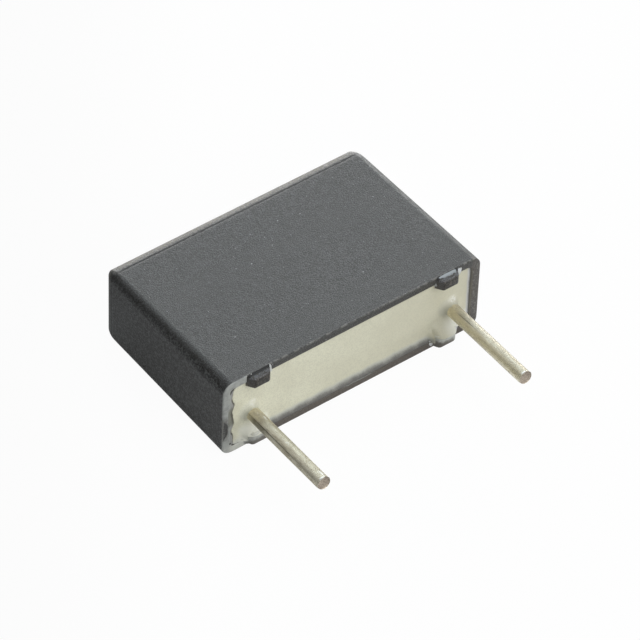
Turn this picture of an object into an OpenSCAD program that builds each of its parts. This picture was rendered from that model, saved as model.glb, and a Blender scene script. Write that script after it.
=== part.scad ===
// Boxed film capacitor for through-hole boards, lying on a broad side.
// A flat wound film roll with sprayed end contacts stands in a moulded plastic case.
// Two round wires lie against the contacts and leave through the cast resin in the open front.
// Lengths are in millimetres, angles in degrees.
// X runs along the lead spacing, +Y towards the closed back, Z through the thickness.

/* [Leads] */
// Spacing of the two leads, axis to axis
pitch = 10; // [7.5:0.1:15]
// Diameter of the tinned wire
lead_d = 0.6; // [0.5:0.05:0.8]
// Free length of a lead beyond the standoff tips
lead_free = 4.5; // [3:0.1:25]
// Length of wire that lies against the end contact
lead_weld = 5; // [2:0.1:5.5]
// Depth that the wire is pressed into the end contact
lead_seat = 0.08; // [0.05:0.01:0.15]
// Distance of the leads below the middle of the thickness
lead_drop = 0.22; // [0:0.02:0.4]

/* [Case] */
// Thickness of the case over its broad sides, at the rim
case_t = 3.92; // [3.4:0.02:6]
// Depth of the case from the rim to the closed back
case_h = 8.25; // [8:0.05:12]
// Thickness of the four side walls
wall = 0.38; // [0.3:0.02:0.6]
// Thickness of the closed back
back_wall = 0.5; // [0.3:0.05:0.8]
// Mould draft of each side wall, narrowing towards the back
draft = 0.75; // [0.25:0.05:1]
// Radius of the outer edges along the depth, where they meet the back
edge_r = 0.4; // [0.3:0.05:0.6]
// Length along the depth over which the outer edges round off into the back
back_r = 0.78; // [0.4:0.02:1]
// Radius of the cavity's edges round its floor
cavity_r = 0.25; // [0.15:0.05:0.4]

/* [Standoffs] */
// Height of a standoff above the rim
nub_h = 0.3; // [0.2:0.05:0.8]
// Distance of a standoff's middle from the lead beside it, towards the middle
nub_in = 0.3; // [0:0.05:0.6]
// Width of a standoff at its tip
nub_tip_w = 0.6; // [0.4:0.05:0.8]
// Width of a standoff at its root, and of the rib behind it
nub_root_w = 1.05; // [0.9:0.05:1.3]
// Step from the broad side down to a standoff, at the rim
nub_step = 0.05; // [0.03:0.01:0.12]
// Further fall of a standoff's outer face towards its tip
nub_fall = 0.08; // [0.04:0.02:0.12]
// Height of the rib inside the wall that ends in a standoff
rib_h = 0.22; // [0.1:0.02:0.3]

/* [Resin] */
// Depth of the resin surface below the rim
fill_recess = 0.16; // [0.05:0.01:0.3]
// Height to which the resin creeps up each lead
collar_h = 0.35; // [0.2:0.05:0.6]
// Spread of the resin collar on the surface, out from the wire
collar_w = 0.38; // [0.2:0.02:0.46]
// Thickness of the collar's lip round the wire
collar_lip = 0.04; // [0.02:0.01:0.08]
// Resin between a lead and the case's end wall
end_cover = 0.745; // [0.5:0.005:1.2]
// Resin between the winding and the ribs on each broad side
side_cover = 0.1; // [0.05:0.01:0.2]
// Resin between the winding and the cavity's floor
back_cover = 0.3; // [0.2:0.05:0.6]
// Resin in front of the winding
front_cover = 1; // [0.6:0.1:1.6]

/* [End contacts] */
// Thickness of the metal sprayed on each end of the winding
spray_t = 0.35; // [0.25:0.05:0.5]

/* [Hidden] */
$fn = 64;
// Steps in a quarter turn of a moulded edge
arc_steps = 8;

LEFT = -1;
RIGHT = 1;
SIDES = [LEFT, RIGHT];

lead_r = lead_d / 2;
lead_x = pitch / 2;
nub_x = lead_x - nub_in;

// The case is as long as the leads, their resin cover and the end walls need
case_l = pitch + lead_d + 2 * (end_cover + wall);
cavity_l = case_l - 2 * wall;
cavity_t = case_t - 2 * wall;
cavity_h = case_h - back_wall;

// Height of a rib's crest above the middle plane
rib_z = cavity_t / 2 - rib_h;
// Most that the ribs or the draft narrow the cavity on one side
narrowing = max(rib_h, cavity_h * tan(draft));

// The winding fills the cavity apart from its resin cover
wind_front = fill_recess + front_cover;
wind_h = cavity_h - back_cover - wind_front;
wind_t = cavity_t - 2 * (narrowing + side_cover);
wind_mid = wind_front + wind_h / 2;

// Outer and inner face of an end contact, measured from the middle
contact_out = lead_x - lead_r + lead_seat;
contact_in = contact_out - spray_t;

// Front and back ends of a lead
lead_tip = -nub_h - lead_free;
lead_end = wind_front + lead_weld;

// Overlap of joined forms
joined = wall / 2;

// Angle at which a corner's straight flank runs into its round back
function flank_a(r, back) = atan(tan(draft) * back / r);

// Corner radius at the rim of a drafted form with edge radius r at its round back
function rim_r(r, back, depth) =
    r * cos(flank_a(r, back)) + (depth - back + back * sin(flank_a(r, back))) * tan(draft);

// Place along Y, once lain down, of a point at a depth and at a height over the lower rim edge
function lain_y(depth, up) = depth * cos(draft) + up * sin(draft);

// Ends of the part along Y: the round upper edge of the back, and the underside of the lead tips
back_y = lain_y(case_h - back_r, case_t - rim_r(edge_r, back_r, case_h))
    + norm([back_r * cos(draft), edge_r * sin(draft)]);
front_y = lain_y(lead_tip, case_t / 2 - lead_drop - lead_r);

// Lays the part down flat on its drafted lower side, over its own middle
module lay_down() {
    translate([0, -(back_y + front_y) / 2, 0])
        rotate([-draft, 0, 0])
            translate([0, 0, case_t / 2])
                children();
}

// Stands a solid along Z into the depth of the case, starting at the given place
module along_depth(x, depth, z = 0) {
    translate([x, depth, z])
        rotate([-90, 0, 0])
            children();
}

// One drafted corner, standing along Z: a cone that runs into an elliptic dome at the back
module corner_post(depth, r, back) {
    start = flank_a(r, back);
    arc = [for (i = [0:arc_steps]) start + (90 - start) * i / arc_steps];
    rotate_extrude($fn = 4 * arc_steps)
        polygon(concat(
            [[0, 0], [rim_r(r, back, depth), 0]],
            [for (a = arc) [r * cos(a), depth - back + back * sin(a)]]
        ));
}

// Moulded form that narrows from the rim to a back with round edges
module moulded_form(length, thick, depth, r, back) {
    inset = rim_r(r, back, depth);
    hull()
        for (sx = SIDES, sz = SIDES)
            along_depth(sx * (length / 2 - inset), 0, sz * (thick / 2 - inset))
                corner_post(depth, r, back);
}

// Space inside the case, without the ribs
module cavity() {
    moulded_form(cavity_l, cavity_t, cavity_h, cavity_r, cavity_r);
}

// Four ribs down the broad walls, each ending in a standoff
module ribs() {
    rib_depth = cavity_h + joined;
    rib_mid_z = (rib_z + cavity_t / 2 + joined) / 2;
    for (sx = SIDES, sz = SIDES)
        translate([sx * nub_x, rib_depth / 2, sz * rib_mid_z])
            cube([nub_root_w, rib_depth, rib_h + joined], center = true);
}

// Standoff that carries a rib on past the rim, narrowing to its tip
module nub() {
    top = case_t / 2 - nub_step;
    intersection() {
        linear_extrude(case_t)
            polygon([
                [-nub_root_w / 2, joined],
                [-nub_root_w / 2, 0],
                [-nub_tip_w / 2, -nub_h],
                [nub_tip_w / 2, -nub_h],
                [nub_root_w / 2, 0],
                [nub_root_w / 2, joined]
            ]);
        rotate([90, 0, 90])
            linear_extrude(2 * nub_root_w, center = true)
                polygon([
                    [joined, rib_z],
                    [joined, top],
                    [0, top],
                    [-nub_h, top - nub_fall],
                    [-nub_h, rib_z]
                ]);
    }
}

// Flat roll outline with half-round edges, as wide as the winding is deep
module roll_outline() {
    flat = wind_h - wind_t;
    square([flat, wind_t], center = true);
    for (s = SIDES)
        translate([s * flat / 2, 0])
            circle(wind_t / 2);
}

// Length of the roll between two places along X
module roll(from, to) {
    translate([from, wind_mid, 0])
        rotate([90, 0, 90])
            linear_extrude(to - from)
                roll_outline();
}

// Round wire on one side, from its cut tip to its end on the contact
module wire(side) {
    along_depth(side * lead_x, lead_tip, -lead_drop)
        cylinder(h = lead_end - lead_tip, r = lead_r);
}

// Sprayed metal on one end of the roll, with the trough that the wire was pressed in
module contact(side) {
    difference() {
        roll(min(side * contact_in, side * contact_out), max(side * contact_in, side * contact_out));
        wire(side);
    }
}

// Fillet of resin round a wire, standing on the resin surface
module collar(side) {
    foot_r = lead_r + collar_w;
    along_depth(side * lead_x, fill_recess, -lead_drop)
        rotate([180, 0, 0])
            rotate_extrude()
                difference() {
                    translate([0, -joined])
                        square([foot_r, collar_h + joined]);
                    translate([foot_r, collar_h])
                        circle(collar_w - collar_lip);
                }
}

// Moulded case with ribs inside and standoffs on the rim
module case() {
    color([0.13, 0.13, 0.14])
        lay_down() {
            difference() {
                moulded_form(case_l, case_t, case_h, edge_r, back_r);
                difference() {
                    cavity();
                    ribs();
                }
            }
            for (sx = SIDES, flip = [0, 1])
                translate([sx * nub_x, 0, 0])
                    mirror([0, 0, flip])
                        nub();
        }
}

// Cast resin round the winding, up to just below the rim
module resin_fill() {
    color([0.78, 0.77, 0.68])
        lay_down()
            difference() {
                union() {
                    intersection() {
                        cavity();
                        translate([-case_l / 2, fill_recess, -case_t / 2])
                            cube([case_l, case_h, case_t]);
                    }
                    collar(LEFT);
                    collar(RIGHT);
                }
                ribs();
                roll(-contact_out, contact_out);
                wire(LEFT);
                wire(RIGHT);
            }
}

// Flat roll of metallised film
module film_winding() {
    color([0.72, 0.73, 0.75])
        lay_down()
            roll(-contact_in, contact_in);
}

// Sprayed contact on the left end of the winding
module end_contact_left() {
    color([0.6, 0.6, 0.6])
        lay_down()
            contact(LEFT);
}

// Sprayed contact on the right end of the winding
module end_contact_right() {
    color([0.6, 0.6, 0.6])
        lay_down()
            contact(RIGHT);
}

// Left tinned wire
module lead_left() {
    color([0.75, 0.73, 0.66])
        lay_down()
            wire(LEFT);
}

// Right tinned wire
module lead_right() {
    color([0.75, 0.73, 0.66])
        lay_down()
            wire(RIGHT);
}

case();
resin_fill();
film_winding();
end_contact_left();
end_contact_right();
lead_left();
lead_right();
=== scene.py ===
import math

import bmesh
import bpy
from mathutils import Matrix, Vector, noise


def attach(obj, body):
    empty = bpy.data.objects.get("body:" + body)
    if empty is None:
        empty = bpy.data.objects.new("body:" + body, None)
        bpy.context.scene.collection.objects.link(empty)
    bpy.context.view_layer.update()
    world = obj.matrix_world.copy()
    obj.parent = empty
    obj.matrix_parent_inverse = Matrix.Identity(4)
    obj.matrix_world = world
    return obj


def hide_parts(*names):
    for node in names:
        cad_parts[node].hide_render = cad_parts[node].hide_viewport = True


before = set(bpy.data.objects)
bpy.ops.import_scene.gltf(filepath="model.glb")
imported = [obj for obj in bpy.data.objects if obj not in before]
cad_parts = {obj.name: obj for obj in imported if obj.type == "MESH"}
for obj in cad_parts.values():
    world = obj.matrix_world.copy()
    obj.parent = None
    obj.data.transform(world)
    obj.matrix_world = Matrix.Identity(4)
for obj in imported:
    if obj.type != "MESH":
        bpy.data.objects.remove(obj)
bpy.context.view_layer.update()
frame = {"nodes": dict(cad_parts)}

bl_info = {
    "name": "Boxed Film Capacitor",
    "version": (1, 0, 0),
    "blender": (4, 5, 0),
    "location": "View3D > Sidebar > Capacitor",
    "description": "Dresses a boxed film capacitor that lies on a broad side: grained case, "
                   "cast resin front, tinned wire leads, and the studio around it",
    "category": "Object",
}

PREFIX = "capacitor_"
MM = 0.001
LEFT, RIGHT = -1, 1
SIDES = (LEFT, RIGHT)
WHITE = (1.0, 1.0, 1.0)

# Lengths here are in millimetres, in the case's own frame

# Rounding of a standoff's edges, and of the resin coat over one
NUB_EDGE, COAT_EDGE = 0.09, 0.13
# Corner radius of the opening that the resin fills
RESIN_CORNER = 0.35
# Step of the grid on the resin's front, and how far from a lead it is finer
GRID, NEAR_LEAD = 0.06, 0.75
# Mean distance of the crack in the resin from the case's left end
CRACK = 0.55
# Height of the resin's ramp up to each lower standoff
RAMPS = {LEFT: 0.36, RIGHT: 0.42}
# Distance from the lower broad side to the coat over each lower standoff
COAT_TOPS = {LEFT: 0.085, RIGHT: 0.03}
# Slivers of resin: lead side, broad side, direction along X, rise, taper, reach over the rim
SLIVERS = (
    (LEFT, 1, 1, 0.10, 0.55, 0.37),
    (RIGHT, 1, -1, 0.05, 0.55, 0.10),
    (RIGHT, 1, 1, 0.115, -0.8, 0.30),
    (RIGHT, -1, -1, 0.20, 0.45, 0.30),
    (LEFT, -1, 1, 0.08, 0.55, 0.22),
    (LEFT, -1, -1, 0.20, 0.4, 0.30),
    (RIGHT, -1, 1, 0.16, 0.55, 0.26),
)
# Drops of resin on the rim's edge: x, z, radius
DROPS = ((-5.05, 1.93, 0.032), (-5.29, 1.945, 0.028), (-5.37, 1.95, 0.022), (-4.33, 1.80, 0.02))
# Direction round a wire, from +X towards +Z, of its marked side
SHOWN = math.radians(122)
# Length by which each wire is cut short
CUT_SHORT = {LEFT: 0.045, RIGHT: -0.02}
# Height over a wire's tip of the last rings on its side
TIP_RINGS = (0.14, 0.10, 0.06, 0.03, 0.012)
# Rings on a wire's cut end: share of the radius, lift
CUT_RINGS = (
    (0.985, 0.0), (0.95, 0.004), (0.90, 0.016), (0.84, 0.022), (0.60, 0.026), (0.30, 0.030))


def number(name, description, value, **options):
    """Number property."""
    return bpy.props.FloatProperty(name=name, description=description, default=value, **options)


def place(name, description, millimetres, **options):
    """Signed distance property in metres, given in millimetres."""
    return number(name, description, millimetres * MM, precision=5,
                  subtype="DISTANCE", unit="LENGTH", **options)


def length(name, description, millimetres):
    """Length property in metres, given in millimetres."""
    return place(name, description, millimetres, min=0.0)


def angle(name, description, degrees):
    """Angle property, given in degrees."""
    return number(name, description, math.radians(degrees), subtype="ANGLE", unit="ROTATION")


def amount(name, description, value):
    """Plain number property, 0 or more."""
    return number(name, description, value, min=0.0)


def colour(name, description, rgb):
    """Linear colour property."""
    return bpy.props.FloatVectorProperty(
        name=name, description=description, default=rgb, size=3, min=0.0, max=1.0, subtype="COLOR")


class CaseSettings(bpy.types.PropertyGroup):
    """Sizes and colours of the moulded case."""
    long: length("Length", "Length of the case at the rim", 12.85)
    thick: length("Thickness", "Thickness over the broad sides at the rim", 3.92)
    deep: length("Depth", "Depth from the rim to the closed back", 8.25)
    wall: length("Wall", "Thickness of the side walls", 0.38)
    back_wall: length("Back wall", "Thickness of the closed back", 0.5)
    draft: angle("Draft", "Mould draft of each side wall", 0.75)
    edge_r: length("Edge radius", "Radius of the edges along the depth, at the back", 0.4)
    back_r: length("Back rounding", "Length over which the edges round off into the back", 0.78)
    cavity_r: length("Cavity radius", "Radius of the cavity's edges round its floor", 0.25)
    rim_r: length("Rim edge", "Radius of the moulded edges of the rim", 0.045)
    nub_x: length("Standoff place", "Distance of a standoff from the middle", 4.7)
    nub_h: length("Standoff height", "Height of a standoff above the rim", 0.3)
    nub_tip: length("Standoff tip", "Width of a standoff at its tip", 0.74)
    nub_root: length("Standoff root", "Width of a standoff at its root", 1.14)
    nub_step: length("Standoff step", "Step from the broad side down to a standoff", 0.05)
    nub_fall: length("Standoff fall", "Fall of a standoff's outer face to its tip", 0.08)
    rib: length("Rib", "Height of the ribs inside the broad walls", 0.24)
    middle: place("Middle", "Depth of the point over the part's own middle", 1.7567)
    plastic: colour("Plastic", "Dark grey moulded plastic", (0.0125, 0.0110, 0.0094))
    grain: colour("Grain", "Lighter peaks of the moulded grain", (0.054, 0.056, 0.056))
    grain_end: colour("End grain", "Peaks of the grain on the ends", (0.11, 0.115, 0.112))
    # Painted light: lightens the shaded inside of the right end wall, in the tone of thin resin
    lit_wall: colour("Inner wall", "Thin resin on the inside of the right end wall",
                     (0.21, 0.20, 0.185))
    worn: colour("Worn edge", "Plastic where the rim's edge is rubbed", (0.20, 0.195, 0.18))
    speck: colour("Speck", "Pale dust specks in the grain", (0.42, 0.43, 0.43))
    rim: colour("Rim", "Slightly brown plastic of the rim", (0.116, 0.098, 0.080))
    streak: colour("Streak", "Thin streak of resin on the lower rim", (0.20, 0.205, 0.195))
    # Dust and a painted sheen on a standoff's outer face
    crown: colour("Standoff crown", "Dusty outer face of a standoff", (0.105, 0.110, 0.118))
    tip: colour("Standoff tip", "Dark front of a standoff", (0.006, 0.005, 0.004))
    seam: colour("Seam", "Shadow in the fine lines at the back and behind the standoffs",
                 (0.004, 0.004, 0.004))
    # Painted highlight on the rounded back edges, granular like rubbed plastic
    back: colour("Back", "Paler plastic of the rubbed back edges", (0.225, 0.208, 0.178))


class ResinSettings(bpy.types.PropertyGroup):
    """Sizes and colours of the cast resin."""
    recess: length("Recess", "Depth of the surface below the rim", 0.16)
    creep: length("Wall creep", "Height to which the resin creeps up the walls", 0.11)
    creep_w: length("Creep width", "Width of the rise at the walls", 0.3)
    collar: length("Collar", "Height to which the resin creeps up a lead", 0.34)
    collar_w: length("Collar width", "Spread of the collar round a lead", 0.34)
    cream: colour("Cream", "Set resin", (0.665, 0.66, 0.522))
    # Also painted as shade towards the right end of the resin
    cream_deep: colour("Deep cream", "Darker clouds in the resin", (0.50, 0.482, 0.371))
    cream_grain: colour("Resin grain", "Fine dark grain in the resin", (0.46, 0.45, 0.36))
    thin: colour("Thin film", "Thin resin over the dark plastic", (0.44, 0.455, 0.42))
    thinnest: colour("Thinnest film", "Resin that the dark plastic shows through",
                     (0.088, 0.086, 0.078))
    crack: colour("Crack", "Shadow in the crack along the left wall", (0.060, 0.056, 0.041))
    smear: colour("Smear", "Film of resin on the rim", (0.198, 0.206, 0.198))
    smear_thick: colour("Thick smear", "Thicker parts of the film", (0.302, 0.314, 0.300))
    pale: colour("Pale drop", "Thick pale drops of resin", (0.50, 0.51, 0.54))
    # Painted glints above the lead roots
    flake: colour("Flake", "Whitish flakes above the lead roots", (0.80, 0.81, 0.78))
    # Painted light that brightens the ramps up to the lower standoffs
    glaze: colour("Glaze", "Bright resin drawn up beside the lower standoffs", (0.76, 0.765, 0.69))
    coat: colour("Coat", "Resin drawn over the lower right standoff", (0.64, 0.645, 0.58))
    coat_left: colour("Left coat", "Thinner resin over the lower left standoff",
                      (0.38, 0.39, 0.368))
    bare: colour("Bare", "Dark plastic under the last of the coat", (0.110, 0.102, 0.088))
    ledge: colour("Ledge", "Grey resin between the crack and the left wall", (0.27, 0.27, 0.26))
    # Darker olive tone on the ledge and the film's edge where the crack widens
    olive: colour("Olive", "Dirt on the ledge beside the crack", (0.135, 0.135, 0.108))
    run: colour("Run", "Bluish run of resin behind the upper right standoff", (0.24, 0.275, 0.30))
    run_edge: colour("Run's edge", "Dark plastic under the front of the run", (0.085, 0.088, 0.09))


class LeadSettings(bpy.types.PropertyGroup):
    """Sizes and colours of the wire leads."""
    pitch: length("Pitch", "Spacing of the two leads", 10.0)
    diameter: length("Diameter", "Diameter of the wire", 0.6)
    drop: length("Drop", "Distance of the leads below the middle", 0.22)
    tip: length("Reach", "Length of a lead beyond the rim", 4.8)
    end: length("Inner end", "Depth of a lead's inner end below the rim", 6.16)
    tin: colour("Tin", "Tinned wire", (0.96, 0.92, 0.755))
    dull: colour("Dull tin", "Dull tin", (0.74, 0.675, 0.525))
    tarnish: colour("Tarnish", "Grey bloom on the marked side", (0.072, 0.062, 0.047))
    pitted: colour("Pitted tin", "Fine dark pits", (0.375, 0.33, 0.24))
    # Painted highlight: the bright band along the wires and the lip at the cut
    bright: colour("Bright tin", "Bare, bright tin", (0.92, 0.93, 0.90))
    # Yellowish stain, lightened as painted light for the dim lower side of the right lead
    stained: colour("Stained tin", "Yellowish tin", (0.74, 0.67, 0.46))
    die: colour("Die mark", "Dirt along the flat that the die left", (0.10, 0.09, 0.06))
    core: colour("Core", "Cut core of the wire", (0.52, 0.445, 0.365))
    core_dark: colour("Dark core", "Torn parts of the cut", (0.27, 0.225, 0.185))


class WindingSettings(bpy.types.PropertyGroup):
    """Sizes and colours of the roll inside and its end contacts."""
    half: length("Half length", "Half length of the roll with its contacts", 4.78)
    thick: length("Thickness", "Thickness of the flat roll", 2.52)
    front: length("Front", "Depth of the roll's front below the rim", 1.16)
    deep: length("Depth", "Depth of the roll", 6.29)
    film: colour("Film", "Metallised film", (0.60, 0.61, 0.63))
    film_gap: colour("Film gaps", "Darker lines between the turns", (0.42, 0.43, 0.45))
    spray: colour("Spray", "Sprayed metal", (0.46, 0.46, 0.45))
    spray_gap: colour("Spray gaps", "Darker gaps between the drops", (0.30, 0.30, 0.29))


class StageSettings(bpy.types.PropertyGroup):
    """Camera, floor and light."""
    azimuth: angle("Azimuth", "Direction of the camera round the part", -38.611)
    elevation: angle("Elevation", "Height of the camera over the part", 45.06)
    roll: angle("Roll", "Roll of the camera", 2.306)
    distance: length("Distance", "Distance of the camera from the case's middle", 205.21)
    offset_x: place("Offset right", "Case's middle left of the picture's middle", 1.1926)
    offset_y: place("Offset up", "Case's middle above the picture's middle", 0.9668)
    lens: amount("Lens", "Focal length for a 36 mm sensor, in millimetres", 286.31)
    floor: colour("Floor", "Pale studio floor in front of the part", (0.75, 0.75, 0.75))
    floor_dim: colour("Dim floor", "Floor away from the light, on the left", (0.28, 0.28, 0.28))
    floor_seen: amount("Seen floor", "Share of white in the floor that the camera sees", 0.96)
    floor_mirrored: amount("Mirrored floor", "Share of white in the floor's reflections", 0.10)
    room_mirrored: amount("Mirrored room", "Share of white in the room's reflections", 0.10)
    key_tint: colour("Key tint", "Slightly cool colour of the soft box behind and above",
                     (0.885, 0.965, 0.995))
    overhead: amount("Key light", "Radiance of the soft box behind and above", 1.92)
    behind: amount("Back strip", "Radiance of the low strip behind", 10.0)
    beside: amount("Right strip", "Radiance of the low strip on the right", 3.6)
    front: amount("Front light", "Radiance of the soft box in front", 2.6)
    left: amount("Left box", "Radiance of the dim soft box above the left back", 0.6)
    fill: amount("Fill", "Radiance of the room", 0.05)


class Group:
    """A settings group of the scene, with its lengths in millimetres."""

    def __init__(self, name):
        self._name = name

    def __getattr__(self, key):
        group = getattr(bpy.context.scene, PREFIX + self._name)
        value = getattr(group, key)
        return value / MM if group.bl_rna.properties[key].unit == "LENGTH" else value


case, resin, lead = Group("case"), Group("resin"), Group("lead")
wind, stage = Group("winding"), Group("stage")


def opening():
    """Half length and half thickness of the case's opening at the rim."""
    return case.long / 2 - case.wall, case.thick / 2 - case.wall


def clamp(value):
    """Value held between 0 and 1."""
    return min(max(value, 0.0), 1.0)


def ease(value, low, high):
    """0 at low and 1 at high, smooth between; low may lie above high."""
    t = clamp((value - low) / (high - low))
    return t * t * (3 - 2 * t)


def ease_between(value, rise_from, rise_to, fall_from, fall_to):
    """0 to 1 between the first two values, 1 to 0 between the last two."""
    return ease(value, rise_from, rise_to) * ease(value, fall_to, fall_from)


def bell(off, width, power=2):
    """1 in the middle, falling to both sides over the width."""
    return math.exp(-(off / width) ** power)


def arch(t, power):
    """1 in the middle, falling round to 0 at -1 and 1."""
    return math.sqrt(max(1.0 - abs(t) ** power, 0.0))


def lumps(x, z, scale, seed):
    """Smooth uneven height with lumps of about 1/scale millimetres."""
    return noise.noise((x * scale, z * scale, seed))


def lay_down():
    """Matrix from the case's own frame, in millimetres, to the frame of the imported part."""
    scale = Matrix.Scale(MM, 4)
    lift = Matrix.Translation((0, 0, case.thick / 2))
    turn = Matrix.Rotation(-case.draft, 4, "X")
    return scale @ Matrix.Translation((0, -case.middle, 0)) @ turn @ lift


def maths(operation, reflected=False):
    """Method that adds a Math node to a value; a reflected one takes the other term first."""
    def method(self, *others):
        terms = (*others, self) if reflected else (self, *others)
        return self.finish.node("ShaderNodeMath", {"operation": operation}, dict(enumerate(terms)))
    return method


class Value:
    """A socket of a material; arithmetic on it adds Math nodes."""

    def __init__(self, finish, socket):
        self.finish = finish
        self.socket = socket

    __add__ = __radd__ = maths("ADD")
    __sub__, __rsub__ = maths("SUBTRACT"), maths("SUBTRACT", reflected=True)
    __mul__ = __rmul__ = maths("MULTIPLY")
    __truediv__, __rtruediv__ = maths("DIVIDE"), maths("DIVIDE", reflected=True)
    __abs__ = maths("ABSOLUTE")
    most, root, sine = maths("MAXIMUM"), maths("SQRT"), maths("SINE")

    def output(self, name):
        """Another output of the node that gives this value."""
        return Value(self.finish, self.socket.node.outputs[name])

    def ease(self, low, high):
        """0 below low and 1 above high, smooth between; falls where low is above high."""
        falls = low > high
        bottom, top = (high, low) if falls else (low, high)
        return self.finish.node(
            "ShaderNodeMapRange", {"interpolation_type": "SMOOTHSTEP"},
            {"Value": self, "From Min": bottom, "From Max": top,
             "To Min": 1.0 if falls else 0.0, "To Max": 0.0 if falls else 1.0})


class Finish:
    """The nodes of a material or of the world, and the base colour painted so far."""

    def __init__(self, owner, base=WHITE):
        self.owner = owner
        self.base = base
        self.point = None
        owner.use_nodes = True
        self.tree = owner.node_tree
        self.tree.nodes.clear()

    def node(self, kind, options=None, inputs=None, output=0):
        """Adds a node, sets its options, then its sockets, and returns one of its outputs."""
        made = self.tree.nodes.new(kind)
        for key, value in (options or {}).items():
            setattr(made, key, value)
        for key, value in (inputs or {}).items():
            self.feed(made.inputs[key], value)
        return Value(self, made.outputs[output]) if made.outputs else None

    def feed(self, socket, value):
        """Links a value to a socket, or sets the socket."""
        if isinstance(value, Value):
            self.tree.links.new(value.socket, socket)
        elif socket.type == "RGBA" and len(value) == 3:
            socket.default_value = (*value, 1.0)
        else:
            socket.default_value = value

    def axes(self, vector):
        """The three values of a vector."""
        x = self.node("ShaderNodeSeparateXYZ", inputs={0: vector})
        return x, x.output("Y"), x.output("Z")

    def place(self):
        """Place in the case's own frame, in millimetres, as three values."""
        shift = (0.0, case.middle * math.cos(case.draft),
                 case.middle * math.sin(case.draft) - case.thick / 2)
        self.point = self.node(
            "ShaderNodeMapping", {"vector_type": "POINT"},
            {"Vector": self.node("ShaderNodeTexCoord", output="Object"),
             "Location": shift, "Rotation": (case.draft, 0.0, 0.0),
             "Scale": (1 / MM, 1 / MM, 1 / MM)})
        return self.axes(self.point)

    def clouds(self, scale, detail=2.0, roughness=0.5, stretch=None):
        """Noise from 0 to 1 with grains of about 1/scale millimetres."""
        point = self.point
        if stretch:
            point = self.node(
                "ShaderNodeVectorMath", {"operation": "MULTIPLY"}, {0: point, 1: stretch})
        return self.node(
            "ShaderNodeTexNoise", {"noise_dimensions": "3D"},
            {"Vector": point, "Scale": scale, "Detail": detail, "Roughness": roughness})

    def dots(self, scale, size):
        """1 on scattered round dots, 0 elsewhere; every cell of 1/scale has its own dot size."""
        near = self.node("ShaderNodeTexVoronoi", {"voronoi_dimensions": "3D", "feature": "F1"},
                         {"Vector": self.point, "Scale": scale})
        chance = self.node("ShaderNodeSeparateColor", inputs={0: near.output("Color")})
        return (near - chance.ease(0.55, 1.0) * size).ease(0.03, 0.0)

    def mix(self, factor, first, second):
        """Colour between two colours."""
        return self.node(
            "ShaderNodeMix", {"data_type": "RGBA"}, {0: factor, 6: first, 7: second}, output=2)

    def paint(self, mask, tone):
        """Lays a colour over the base colour where the mask is above 0."""
        self.base = self.mix(mask, self.base, tone)

    def bump(self, height, distance, strength=1.0, below=None):
        """Normal from a height that spans the given distance in millimetres."""
        inputs = {"Height": height, "Distance": distance * MM, "Strength": strength}
        if below is not None:
            inputs["Normal"] = below
        return self.node("ShaderNodeBump", inputs=inputs)

    def close(self, **sockets):
        """Ends the material in a Principled shader; spaces in names are underscores."""
        inputs = {key.replace("_", " "): value for key, value in sockets.items()}
        surface = self.node("ShaderNodeBsdfPrincipled", inputs={"Base Color": self.base, **inputs})
        self.node("ShaderNodeOutputMaterial", inputs={"Surface": surface})
        return self.owner

    def backdrop(self, lit, white, seen, mirrored):
        """Mix of a lit and a white surface: shares of white that the camera and mirrors see."""
        camera = self.node("ShaderNodeLightPath", output="Is Camera Ray")
        mirror = camera.output("Is Glossy Ray").most(camera.output("Is Transmission Ray"))
        share = (camera * seen).most(mirror * mirrored)
        return self.node("ShaderNodeMixShader", inputs={0: share, 1: lit, 2: white})


def new_finish(name, base):
    """Finish of a new material in a base colour, and the place on it."""
    finish = Finish(bpy.data.materials.new(name), base)
    return finish, finish.place()


def outline(half_x, half_z, r, steps=12):
    """Points round a rectangle with round corners, as (x, z)."""
    points = []
    for cx, cz, start in ((1, 1, 0), (-1, 1, 90), (-1, -1, 180), (1, -1, 270)):
        for k in range(steps + 1):
            t = math.radians(start + 90 * k / steps)
            points.append((cx * (half_x - r) + r * math.cos(t),
                           cz * (half_z - r) + r * math.sin(t)))
    return points


def ring(bm, half_x, half_z, r, depth):
    """Ring of vertices round a rounded rectangle at a depth."""
    return [bm.verts.new((x, depth, z)) for x, z in outline(half_x, half_z, r)]


def skin(bm, rings, closed=True):
    """Quads between neighbouring rings."""
    for one, two in zip(rings, rings[1:]):
        count = len(one)
        for k in range(count if closed else count - 1):
            n = (k + 1) % count
            bm.faces.new((one[k], one[n], two[n], two[k]))


def solid(bm, rings):
    """Skin over the rings with a face at each end."""
    skin(bm, rings)
    bm.faces.new(rings[0])
    bm.faces.new(rings[-1])


def curve(start, pull, end, count=8):
    """Points from start to end on a curve that bends towards pull."""
    points = []
    for k in range(count):
        w = k / (count - 1)
        points.append(tuple((1 - w) ** 2 * a + 2 * w * (1 - w) * b + w * w * c
                            for a, b, c in zip(start, pull, end)))
    return points


def add_object(name, data):
    """New object in the scene."""
    made = bpy.data.objects.new(name, data)
    bpy.context.scene.collection.objects.link(made)
    return made


def finish_mesh(bm, name, weld=1e-4):
    """Object from a bmesh in millimetres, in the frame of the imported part."""
    bmesh.ops.remove_doubles(bm, verts=bm.verts, dist=weld)
    bmesh.ops.recalc_face_normals(bm, faces=bm.faces)
    mesh = bpy.data.meshes.new(name)
    bm.to_mesh(mesh)
    bm.free()
    mesh.transform(lay_down())
    return add_object(name, mesh)


def combine(piece, tool, operation):
    """Joins a tool to a piece or cuts it away, and removes the tool."""
    cut = piece.modifiers.new("cut", "BOOLEAN")
    cut.operation = operation
    cut.solver = "EXACT"
    cut.object = tool
    apply_modifiers(piece)
    bpy.data.objects.remove(tool)


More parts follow.
